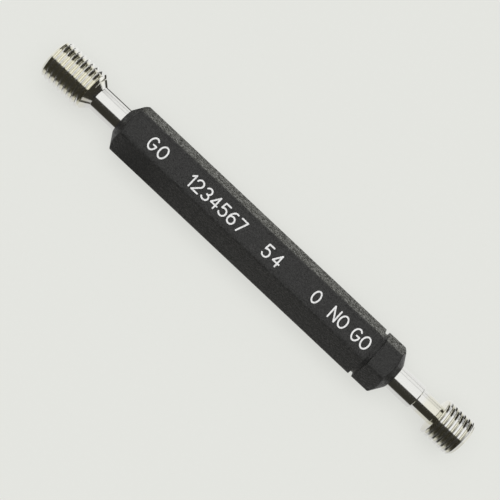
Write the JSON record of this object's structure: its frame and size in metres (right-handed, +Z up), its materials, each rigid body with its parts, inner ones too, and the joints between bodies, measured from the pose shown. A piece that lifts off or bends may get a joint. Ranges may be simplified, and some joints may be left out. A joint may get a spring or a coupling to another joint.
{
  "type": "thread plug gauge",
  "caption": "Double-ended thread plug gauge: a black hexagonal handle with a long threaded GO plug on one end and a short truncated NO GO plug on the other, lying on a flat.",
  "frame": {"origin": "on the ground, under the middle of the gauge's length and of its width", "axes": "+X along the gauge from its GO end to its NO GO end, +Z up out of the marked flat of the handle"},
  "size_m": [0.074, 0.0078, 0.007],
  "materials": {
    "handle_plastic": "matt black, with a fine grain",
    "gauge_steel": "hardened and ground bright, with fine marks round the axis",
    "marking_paint": "matt white paint in shallow engraving"
  },
  "bodies": {
    "root": {"handle": "handle_plastic", "go_member": "gauge_steel", "no_go_member": "gauge_steel"}
  },
  "joints": []
}
